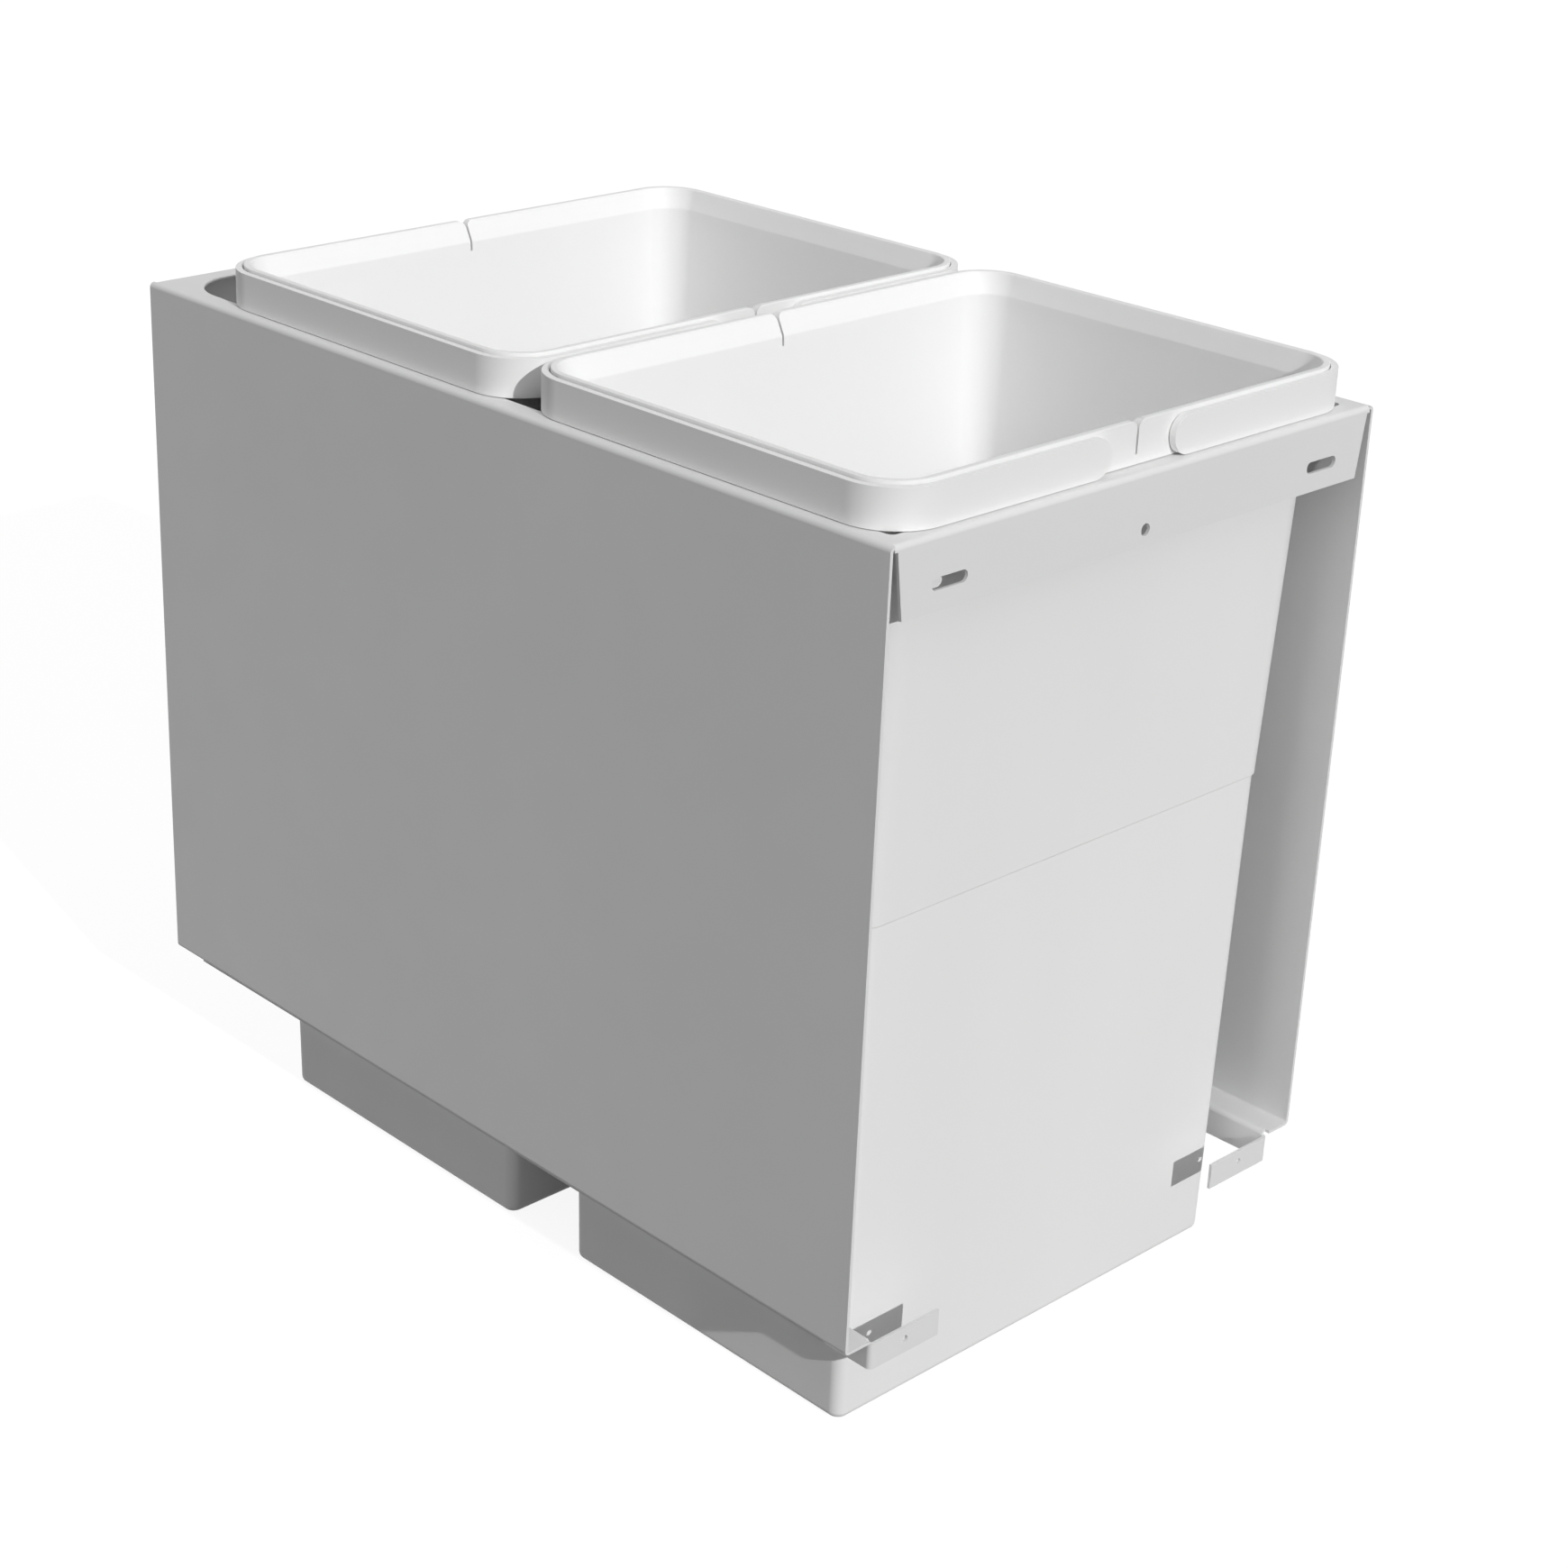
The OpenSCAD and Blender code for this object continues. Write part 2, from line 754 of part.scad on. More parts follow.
// A cage: two arms joined by a thin web, with a hole through the arms for each ball
module ball_cage(side, web_u, ball_u, ball_v) {
    color(cage_grey) on_side(side) difference() {
        runner_section(runner_mid_y - cage_l / 2, runner_mid_y + cage_l / 2) {
            span(web_u, -ball_v - cage_t / 2, web_u + cage_t, ball_v + cage_t / 2);
            for (s = [-1, 1]) {
                span(web_u, s * ball_v - cage_t / 2, ball_u + ball_d, s * ball_v + cage_t / 2);
            }
        }
        for (y = ball_ys()) {
            for (s = [-1, 1]) {
                translate([rail_out_x + ball_u, y, runner_z + s * ball_v]) {
                    cylinder(h = ball_d, r = track_r, center = true);
                }
            }
        }
    }
}

module ball_rows(side, ball_u, ball_v) {
    color(ball_steel) on_side(side) {
        for (y = ball_ys()) {
            for (s = [-1, 1]) {
                translate([rail_out_x + ball_u, y, runner_z + s * ball_v]) sphere(d = ball_d);
            }
        }
    }
}

module outer_cage(side) {
    ball_cage(side, outer_cage_u, outer_ball_u, outer_ball_v);
}

module outer_balls(side) {
    ball_rows(side, outer_ball_u, outer_ball_v);
}

module inner_cage(side) {
    ball_cage(side, inner_cage_u, inner_ball_u, inner_ball_v);
}

module inner_balls(side) {
    ball_rows(side, inner_ball_u, inner_ball_v);
}

// The named pieces

carrier_frame();
front_bin();
rear_bin();
front_bin_left_bail();
front_bin_right_bail();
rear_bin_left_bail();
rear_bin_right_bail();
support_rail(-1);  // left_support_rail
support_rail(1);  // right_support_rail
rail_rivets(-1);  // left_rail_rivets
rail_rivets(1);  // right_rail_rivets
stop_buffer(-1);  // left_stop_buffer
stop_buffer(1);  // right_stop_buffer
fixed_member(-1);  // left_fixed_member
fixed_member(1);  // right_fixed_member
outer_cage(-1);  // left_outer_cage
outer_cage(1);  // right_outer_cage
outer_balls(-1);  // left_outer_balls
outer_balls(1);  // right_outer_balls
middle_member(-1);  // left_middle_member
middle_member(1);  // right_middle_member
inner_cage(-1);  // left_inner_cage
inner_cage(1);  // right_inner_cage
inner_balls(-1);  // left_inner_balls
inner_balls(1);  // right_inner_balls
carrier_member(-1);  // left_carrier_member
carrier_member(1);  // right_carrier_member
panel_bosses(-1);  // left_panel_bosses
panel_bosses(1);  // right_panel_bosses
member_screws(-1);  // left_member_screws
member_screws(1);  // right_member_screws
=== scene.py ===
"""The looks of a pull-out waste bin unit: a folded white carrier with two lift-out bins.

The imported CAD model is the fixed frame. The bins and their bails are modelled here in full,
and the carrier is worked up from a copy of its CAD solid; all seven take the place of their
solids. The runners, rails and small fasteners keep their CAD shapes and get their finishes.
"""

from __future__ import annotations

import json
import logging
import math
from collections.abc import Callable, Iterable
from dataclasses import dataclass, field
from enum import Enum
from typing import Protocol

import bmesh
import bpy
from mathutils import Matrix, Vector

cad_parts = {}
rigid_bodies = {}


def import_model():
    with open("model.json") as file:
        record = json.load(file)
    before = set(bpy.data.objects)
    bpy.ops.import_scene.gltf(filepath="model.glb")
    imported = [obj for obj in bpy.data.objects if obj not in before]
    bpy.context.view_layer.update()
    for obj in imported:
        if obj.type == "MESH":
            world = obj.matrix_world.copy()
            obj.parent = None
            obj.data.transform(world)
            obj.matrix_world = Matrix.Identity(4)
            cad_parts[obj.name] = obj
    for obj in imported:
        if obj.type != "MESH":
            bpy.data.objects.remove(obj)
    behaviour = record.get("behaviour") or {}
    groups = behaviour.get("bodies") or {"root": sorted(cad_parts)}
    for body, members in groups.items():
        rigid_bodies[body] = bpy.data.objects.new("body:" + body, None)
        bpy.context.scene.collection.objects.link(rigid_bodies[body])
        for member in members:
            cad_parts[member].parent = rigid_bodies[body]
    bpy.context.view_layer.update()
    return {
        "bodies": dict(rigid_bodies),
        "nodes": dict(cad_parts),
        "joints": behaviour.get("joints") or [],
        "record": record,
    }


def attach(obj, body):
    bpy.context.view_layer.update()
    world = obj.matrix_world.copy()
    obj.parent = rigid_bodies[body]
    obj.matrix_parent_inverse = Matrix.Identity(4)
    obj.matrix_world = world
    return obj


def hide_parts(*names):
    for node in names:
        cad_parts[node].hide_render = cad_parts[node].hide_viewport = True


LOG = logging.getLogger("waste_bin_unit")
MM = 0.001

Pair = tuple[float, float]
Triple = tuple[float, float, float]
Colour = Triple

MERGE = 0.002 * MM  # points nearer than this become one
NEAR = 0.01 * MM  # places nearer than this count as the same
LEAST_ROUND = 0.5 * MM  # no corner of an outline is sharper than this
LEAST_SLOPE = 1e-6  # a normal that leans less than this doesn't lean
LOOKS_UP = 0.7  # a face looks up where its normal rises more than this
SMOOTH_ANGLE = 32  # edges sharper than this stay sharp, in degrees
FLAT_WEIGHT = 60  # how strongly wide flat faces draw the normals beside them
NOISE_BAND = (0.3, 0.7)  # nearly all of a noise pattern lies between these
RAMP_BAND = (0.32, 0.68)  # the same, where the pattern becomes a colour
SIGNS = (-1, 1)
CORNERS = tuple((sx, sy) for sx in SIGNS for sy in SIGNS)


class Pick(Enum):
    """What a selection in edit mode is made of."""

    VERTS = "VERT"
    FACES = "FACE"


class Side(Enum):
    """The side of the unit seen from the front, as the sign of X."""

    LEFT = -1
    RIGHT = 1


# Bench: the few hand moves that every piece is made with


def deselect() -> None:
    """Leaves edit mode if needed and deselects every object."""
    if bpy.context.object is not None and bpy.context.object.mode != "OBJECT":
        bpy.ops.object.mode_set(mode="OBJECT")
    bpy.ops.object.select_all(action="DESELECT")


def take(piece: bpy.types.Object) -> None:
    """Makes one piece the only selected and active object.

    Args:
        piece: The object to work on next.
    """
    deselect()
    piece.select_set(True)
    bpy.context.view_layer.objects.active = piece


def open_mesh(piece: bpy.types.Object) -> None:
    """Takes a piece and opens its mesh in edit mode.

    Args:
        piece: The object whose mesh is worked on next.
    """
    take(piece)
    bpy.ops.object.mode_set(mode="EDIT")


def close_mesh() -> None:
    """Goes back to object mode."""
    bpy.ops.object.mode_set(mode="OBJECT")


def pick(piece: bpy.types.Object, kind: Pick, test: Callable[[Vector], bool]) -> int:
    """Selects the parts of an open mesh whose middle passes a test.

    Args:
        piece: The object whose mesh is open in edit mode.
        kind: Whether points or faces are selected.
        test: Takes the middle of a part and says whether it is selected.

    Returns:
        How many parts were selected.
    """
    bpy.ops.mesh.select_mode(type=kind.value)
    bpy.ops.mesh.select_all(action="DESELECT")
    mesh = bmesh.from_edit_mesh(piece.data)
    if kind is Pick.VERTS:
        found = [vert for vert in mesh.verts if test(vert.co)]
    else:
        found = [face for face in mesh.faces if test(face.calc_center_median())]
    for part in found:
        part.select = True
    mesh.select_flush_mode()
    bmesh.update_edit_mesh(piece.data)
    return len(found)


def extrude(shift: Triple) -> None:
    """Extrudes the selection and moves the new part.

    Args:
        shift: How far the extruded part moves, in metres.
    """
    bpy.ops.mesh.extrude_region_move(TRANSFORM_OT_translate={"value": shift})


def apply_modifier(piece: bpy.types.Object, kind: str, **settings: object) -> None:
    """Adds a modifier to a piece, sets it and applies it.

    Args:
        piece: The object that is modified.
        kind: The modifier's type, as Blender names it.
        **settings: The modifier's own values.
    """
    take(piece)
    modifier = piece.modifiers.new(kind.title(), kind)
    for key, value in settings.items():
        setattr(modifier, key, value)
    bpy.ops.object.modifier_apply(modifier=modifier.name)


def cut_with(piece: bpy.types.Object, cutter: bpy.types.Object) -> None:
    """Cuts a piece with a cutter and throws the cutter away.

    Args:
        piece: The object that is cut.
        cutter: A closed shape that marks what is removed.
    """
    apply_modifier(piece, "BOOLEAN", operation="DIFFERENCE", object=cutter, solver="EXACT")
    bpy.data.objects.remove(cutter, do_unlink=True)


def fuse(piece: bpy.types.Object, other: bpy.types.Object) -> None:
    """Fuses another closed shape into a piece.

    Args:
        piece: The object that is kept.
        other: The shape that becomes part of it.
    """
    apply_modifier(piece, "BOOLEAN", operation="UNION", object=other, solver="EXACT")
    bpy.data.objects.remove(other, do_unlink=True)


def settle(piece: bpy.types.Object) -> None:
    """Puts a piece's place, turn and scale into its mesh.

    Args:
        piece: The object that is left at the origin, unturned and unscaled.
    """
    take(piece)
    bpy.ops.object.transform_apply(location=True, rotation=True, scale=True)


def face_outwards(piece: bpy.types.Object) -> None:
    """Merges doubled points of a closed shape and turns its faces outwards.

    Args:
        piece: The closed shape.
    """
    open_mesh(piece)
    bpy.ops.mesh.select_all(action="SELECT")
    bpy.ops.mesh.remove_doubles(threshold=MERGE)
    bpy.ops.mesh.normals_make_consistent(inside=False)
    close_mesh()


def shade(piece: bpy.types.Object) -> None:
    """Smooths round parts and keeps flat faces flat.

    Args:
        piece: The finished shape.
    """
    take(piece)
    bpy.ops.object.shade_smooth_by_angle(angle=math.radians(SMOOTH_ANGLE))
    apply_modifier(piece, "WEIGHTED_NORMAL", keep_sharp=True, weight=FLAT_WEIGHT)


def ease_edges(piece: bpy.types.Object, width: float, segments: int, angle: float) -> None:
    """Eases the sharp edges of a piece.

    Args:
        piece: The shape whose edges are eased.
        width: How wide the easing is, in metres.
        segments: How many faces it has across.
        angle: Edges sharper than this are eased, in degrees.
    """
    apply_modifier(
        piece, "BEVEL", width=width, segments=segments, limit_method="ANGLE",
        angle_limit=math.radians(angle),
    )


def add_block(name: str, low: Vector, high: Vector) -> bpy.types.Object:
    """Adds a rectangular block between two corners.

    Args:
        name: The new object's name.
        low: The lowest corner, in metres.
        high: The highest corner, in metres.

    Returns:
        The block, with its place in its mesh.
    """
    deselect()
    bpy.ops.mesh.primitive_cube_add(size=1, location=(low + high) / 2)
    block = bpy.context.object
    block.name = name
    block.scale = high - low
    settle(block)
    return block


def add_bar(name: str, start: Vector, end: Vector, radius: float,
            sides: int = 32) -> bpy.types.Object:
    """Adds a round bar between two points.

    Args:
        name: The new object's name.
        start: The middle of one end, in metres.
        end: The middle of the other end, in metres.
        radius: The bar's radius, in metres.
        sides: How many sides its round has.

    Returns:
        The bar, with its place in its mesh.
    """
    deselect()
    along = end - start
    bpy.ops.mesh.primitive_cylinder_add(
        vertices=sides, radius=radius, depth=along.length, location=(start + end) / 2,
        rotation=along.to_track_quat("Z", "Y").to_euler(),
    )
    bar = bpy.context.object
    bar.name = name
    settle(bar)
    return bar


def copy_of(piece: bpy.types.Object, name: str) -> bpy.types.Object:
    """Copies a piece with a mesh of its own.

    Args:
        piece: The piece that is copied.
        name: The copy's name.

    Returns:
        The copy, linked into the scene.
    """
    twin = piece.copy()
    twin.data = piece.data.copy()
    twin.name = name
    twin.parent = None
    bpy.context.scene.collection.objects.link(twin)
    return twin


# Finishes


class Nodes:
    """A material's node tree with its shader, built up node by node."""

    def __init__(self, name: str) -> None:
        """Starts an empty material with a Principled shader.

        Args:
            name: The material's name.
        """
        self.material = bpy.data.materials.new(name)
        self.material.use_nodes = True
        self.tree = self.material.node_tree
        self.tree.nodes.clear()
        self.shader = self.tree.nodes.new("ShaderNodeBsdfPrincipled")
        self.output = self.tree.nodes.new("ShaderNodeOutputMaterial")
        self.tree.links.new(self.shader.outputs["BSDF"], self.output.inputs["Surface"])
        self.place = self.tree.nodes.new("ShaderNodeTexCoord").outputs["Object"]

    def set(self, **values: object) -> None:
        """Sets sockets of the shader that are the same all over.

        Args:
            **values: Socket names, with underscores for spaces, and their values.
        """
        for key, value in values.items():
            self.shader.inputs[key.replace("_", " ")].default_value = value

    def stretched(self, scale: Triple) -> bpy.types.NodeSocket:
        """Gives the object's own place, stretched along each axis.

        Args:
            scale: The stretch along X, Y and Z.

        Returns:
            The stretched place.
        """
        mapping = self.tree.nodes.new("ShaderNodeMapping")
        mapping.inputs["Scale"].default_value = scale
        self.tree.links.new(self.place, mapping.inputs["Vector"])
        return mapping.outputs["Vector"]

    def noise(self, scale: float, detail: float = 2, rough: float = 0.5,
              place: bpy.types.NodeSocket | None = None) -> bpy.types.NodeSocket:
        """Adds a noise pattern.

        Args:
            scale: How many waves it has in a metre.
            detail: How many finer layers it has.
            rough: How strong the finer layers are.
            place: Where it is read, the object's own place if left out.

        Returns:
            The pattern's value.
        """
        node = self.tree.nodes.new("ShaderNodeTexNoise")
        node.inputs["Scale"].default_value = scale
        node.inputs["Detail"].default_value = detail
        node.inputs["Roughness"].default_value = rough
        self.tree.links.new(place or self.place, node.inputs["Vector"])
        return node.outputs["Fac"]

    def spread(self, value: bpy.types.NodeSocket, low: float, high: float) -> bpy.types.NodeSocket:
        """Spreads a pattern over a range.

        Args:
            value: The pattern.
            low: The value where the pattern is darkest.
            high: The value where it is brightest.

        Returns:
            The pattern in its new range.
        """
        node = self.tree.nodes.new("ShaderNodeMapRange")
        node.inputs["From Min"].default_value = NOISE_BAND[0]
        node.inputs["From Max"].default_value = NOISE_BAND[1]
        node.inputs["To Min"].default_value = low
        node.inputs["To Max"].default_value = high
        self.tree.links.new(value, node.inputs["Value"])
        return node.outputs["Result"]

    def blend(self, value: bpy.types.NodeSocket, dark: Colour,
              light: Colour) -> bpy.types.NodeSocket:
        """Turns a pattern into a colour between two shades.

        Args:
            value: The pattern.
            dark: The shade where it is darkest.
            light: The shade where it is brightest.

        Returns:
            The colour.
        """
        ramp = self.tree.nodes.new("ShaderNodeValToRGB")
        for stop, position, tint in zip(ramp.color_ramp.elements, RAMP_BAND, (dark, light)):
            stop.position = position
            stop.color = (*tint, 1)
        self.tree.links.new(value, ramp.inputs["Fac"])
        return ramp.outputs["Color"]

    def bump(self, height: bpy.types.NodeSocket, depth: float, strength: float) -> None:
        """Raises the surface by a pattern.

        Args:
            height: The pattern.
            depth: The relief's depth in metres.
            strength: How much of it shows.
        """
        node = self.tree.nodes.new("ShaderNodeBump")
        node.inputs["Distance"].default_value = depth
        node.inputs["Strength"].default_value = strength
        self.tree.links.new(height, node.inputs["Height"])
        self.tree.links.new(node.outputs["Normal"], self.shader.inputs["Normal"])

    def link(self, value: bpy.types.NodeSocket, socket: str) -> None:
        """Feeds a pattern or colour to the shader.

        Args:
            value: The pattern or colour.
            socket: The shader's socket.
        """
        self.tree.links.new(value, self.shader.inputs[socket])


class Finish(Protocol):
    """A finish, which can make its own material."""

    def material(self) -> bpy.types.Material:
        """Makes the material."""


@dataclass(frozen=True)
class PowderCoat:
    """White powder coat, baked on sheet steel: nearly matt, with a fine orange peel."""

    dark: Colour = (0.82, 0.82, 0.82)
    light: Colour = (0.84, 0.84, 0.84)
    rough: Pair = (0.56, 0.64)
    clouds: float = 7
    patches: float = 40
    peel: float = 620
    peel_depth: float = 0.02 * MM
    peel_strength: float = 0.35

    def material(self) -> bpy.types.Material:
        """Makes the coat.

        Returns:
            The material.
        """
        coat = Nodes("white_powder_coat")
        coat.set(IOR=1.5)
        clouds = coat.noise(self.clouds, detail=3)
        patches = coat.noise(self.patches, detail=4)
        coat.link(coat.blend(clouds, self.dark, self.light), "Base Color")
        coat.link(coat.spread(patches, *self.rough), "Roughness")
        coat.bump(coat.noise(self.peel, rough=0.4), self.peel_depth, self.peel_strength)
        return coat.material


@dataclass(frozen=True)
class MouldedPlastic:
    """White moulded polypropylene: a fine even grain and faint flow marks along the draw."""

    name: str
    dark: Colour
    light: Colour
    rough: Pair = (0.46, 0.54)
    flow: float = 9
    flow_draw: Triple = (1, 1, 0.25)
    patches: float = 30
    patch_draw: Triple = (1, 1, 0.3)
    grain: float = 1400
    grain_depth: float = 0.01 * MM
    grain_strength: float = 0.4

    def material(self) -> bpy.types.Material:
        """Makes the plastic.

        Returns:
            The material.
        """
        skin = Nodes(self.name)
        skin.set(IOR=1.49)
        flow = skin.noise(self.flow, detail=3, place=skin.stretched(self.flow_draw))
        patches = skin.noise(self.patches, detail=3, place=skin.stretched(self.patch_draw))
        grain = skin.noise(self.grain, detail=1, rough=0.3)
        skin.link(skin.blend(flow, self.dark, self.light), "Base Color")
        skin.link(skin.spread(patches, *self.rough), "Roughness")
        skin.bump(grain, self.grain_depth, self.grain_strength)
        return skin.material


@dataclass(frozen=True)
class ZincPlate:
    """Bright zinc plate on rolled steel, with drawing lines along the runner."""

    dark: Colour = (0.5, 0.52, 0.55)
    light: Colour = (0.68, 0.69, 0.71)
    rough: Pair = (0.28, 0.42)
    clouds: float = 60
    lines: float = 900
    line_draw: Triple = (1, 0.02, 1)
    line_depth: float = 0.01 * MM
    line_strength: float = 0.3

    def material(self) -> bpy.types.Material:
        """Makes the plate.

        Returns:
            The material.
        """
        plate = Nodes("zinc_plated_steel")
        plate.set(Metallic=1.0)
        lines = plate.noise(
            self.lines, detail=3, rough=0.6, place=plate.stretched(self.line_draw),
        )
        clouds = plate.noise(self.clouds, detail=4, rough=0.6)
        plate.link(plate.blend(clouds, self.dark, self.light), "Base Color")
        plate.link(plate.spread(lines, *self.rough), "Roughness")
        plate.bump(lines, self.line_depth, self.line_strength)
        return plate.material


@dataclass(frozen=True)
class MillAluminium:
    """Extruded aluminium as it leaves the die, with fine die lines along its length."""

    dark: Colour = (0.66, 0.67, 0.68)
    light: Colour = (0.78, 0.79, 0.8)
    rough: Pair = (0.34, 0.46)
    clouds: float = 25
    lines: float = 1600
    line_draw: Triple = (1, 0.01, 1)
    line_depth: float = 0.01 * MM
    line_strength: float = 0.3

    def material(self) -> bpy.types.Material:
        """Makes the aluminium.

        Returns:
            The material.
        """
        rail = Nodes("mill_aluminium")
        rail.set(Metallic=1.0)
        lines = rail.noise(self.lines, place=rail.stretched(self.line_draw))
        clouds = rail.noise(self.clouds, detail=3)
        rail.link(rail.blend(clouds, self.dark, self.light), "Base Color")
        rail.link(rail.spread(lines, *self.rough), "Roughness")
        rail.bump(lines, self.line_depth, self.line_strength)
        return rail.material


@dataclass(frozen=True)
class PolishedSteel:
    """Hardened bearing balls under a thin film of grease."""

    dark: Colour = (0.5, 0.51, 0.53)
    light: Colour = (0.66, 0.67, 0.69)
    rough: Pair = (0.1, 0.2)
    film: float = 300

    def material(self) -> bpy.types.Material:
        """Makes the steel.

        Returns:
            The material.
        """
        ball = Nodes("polished_ball_steel")
        ball.set(Metallic=1.0)
        film = ball.noise(self.film, detail=3)
        ball.link(ball.blend(film, self.dark, self.light), "Base Color")
        ball.link(ball.spread(film, *self.rough), "Roughness")
        return ball.material


@dataclass(frozen=True)
class StopRubber:
    """Matt dark rubber with a dry bloom."""

    dark: Colour = (0.02, 0.02, 0.022)
    light: Colour = (0.035, 0.035, 0.037)
    rough: Pair = (0.65, 0.85)
    bloom: float = 120
    grain: float = 900
    grain_depth: float = 0.03 * MM
    grain_strength: float = 0.5

    def material(self) -> bpy.types.Material:
        """Makes the rubber.

        Returns:
            The material.
        """
        rubber = Nodes("stop_rubber")
        rubber.set(IOR=1.52)
        bloom = rubber.noise(self.bloom, detail=4)
        rubber.link(rubber.blend(bloom, self.dark, self.light), "Base Color")
        rubber.link(rubber.spread(bloom, *self.rough), "Roughness")
        rubber.bump(rubber.noise(self.grain), self.grain_depth, self.grain_strength)
        return rubber.material


@dataclass(frozen=True)
class StudioFloor:
    """A pale floor that shows nearly white to the eye and keeps a soft shadow."""

    # As it is seen: a grey that takes the shadow, and a glow that lifts it
    shade: Colour = (0.2, 0.2, 0.2)
    glow: float = 0.9
    # As it lights the unit from below
    bounce: Colour = (0.18, 0.18, 0.18)

    def material(self) -> bpy.types.Material:
        """Makes the floor.

        Returns:
            The material.
        """
        floor = Nodes("studio_floor")
        tree = floor.tree
        seen = tree.nodes.new("ShaderNodeBsdfDiffuse")
        seen.inputs["Color"].default_value = (*self.shade, 1)
        glow = tree.nodes.new("ShaderNodeEmission")
        glow.inputs["Strength"].default_value = self.glow
        added = tree.nodes.new("ShaderNodeAddShader")
        tree.links.new(seen.outputs["BSDF"], added.inputs[0])
        tree.links.new(glow.outputs["Emission"], added.inputs[1])
        unseen = tree.nodes.new("ShaderNodeBsdfDiffuse")
        unseen.inputs["Color"].default_value = (*self.bounce, 1)
        chooser = tree.nodes.new("ShaderNodeMixShader")
        tree.links.new(looked_at(tree), chooser.inputs["Fac"])
        tree.links.new(unseen.outputs["BSDF"], chooser.inputs[1])
        tree.links.new(added.outputs["Shader"], chooser.inputs[2])
        tree.links.new(chooser.outputs["Shader"], floor.output.inputs["Surface"])
        tree.nodes.remove(floor.shader)
        return floor.material


def looked_at(tree: bpy.types.NodeTree) -> bpy.types.NodeSocket:
    """Tells rays that are seen, directly, in a gloss or through glass, from those that light.

    Args:
        tree: The node tree that asks.

    Returns:
        1 for a ray that is seen, 0 for one that only lights.
    """
    path = tree.nodes.new("ShaderNodeLightPath")
    value = path.outputs["Is Camera Ray"]
    for other in ("Is Glossy Ray", "Is Transmission Ray"):
        both = tree.nodes.new("ShaderNodeMath")
        both.operation = "MAXIMUM"
        tree.links.new(value, both.inputs[0])
        tree.links.new(path.outputs[other], both.inputs[1])
        value = both.outputs["Value"]
    return value


# Bins


@dataclass(frozen=True)
class Outline:
    """A round-cornered rectangle at one height, centred on the bin."""

    half_width: float
    half_length: float
    radius: float
    height: float = 0

    def grown(self, out: float, height: float) -> Outline:
        """Moves the outline outwards, or inwards where out is negative.

        Args:
            out: How far each side moves, in metres.
            height: The new outline's height, in metres.

        Returns:
            The new outline.
        """
        radius = max(self.radius + out, LEAST_ROUND)
        return Outline(self.half_width + out, self.half_length + out, radius, height)

    def corner(self, sx: int, sy: int) -> Vector:
        """Gives the middle of one corner's round.

        Args:
            sx: The sign of X at that corner.
            sy: The sign of Y at that corner.

        Returns:
            The corner's middle, at the outline's height.
        """
        x, y = self.half_width - self.radius, self.half_length - self.radius
        return Vector((sx * x, sy * y, self.height))


def round_over(base: Outline, out: Pair, height: Pair, rising: bool,
               steps: int = 5) -> list[Outline]:
    """Draws a quarter round between two offsets of an outline.

    Args:
        base: The outline that the offsets are measured from.
        out: The offset at the start and at the end, in metres.
        height: The height at the start and at the end, in metres.
        rising: Whether the height changes first, and the offset last.
        steps: How many steps the quarter has.

    Returns:
        The outlines of the round, with both ends.
    """
    rings = []
    for i in range(steps + 1):
        turn = math.pi / 2 * i / steps
        late, early = 1 - math.cos(turn), math.sin(turn)
        share_out, share_up = (late, early) if rising else (early, late)
        new_out = out[0] + (out[1] - out[0]) * share_out
        new_height = height[0] + (height[1] - height[0]) * share_up
        rings.append(base.grown(new_out, new_height))
    return rings


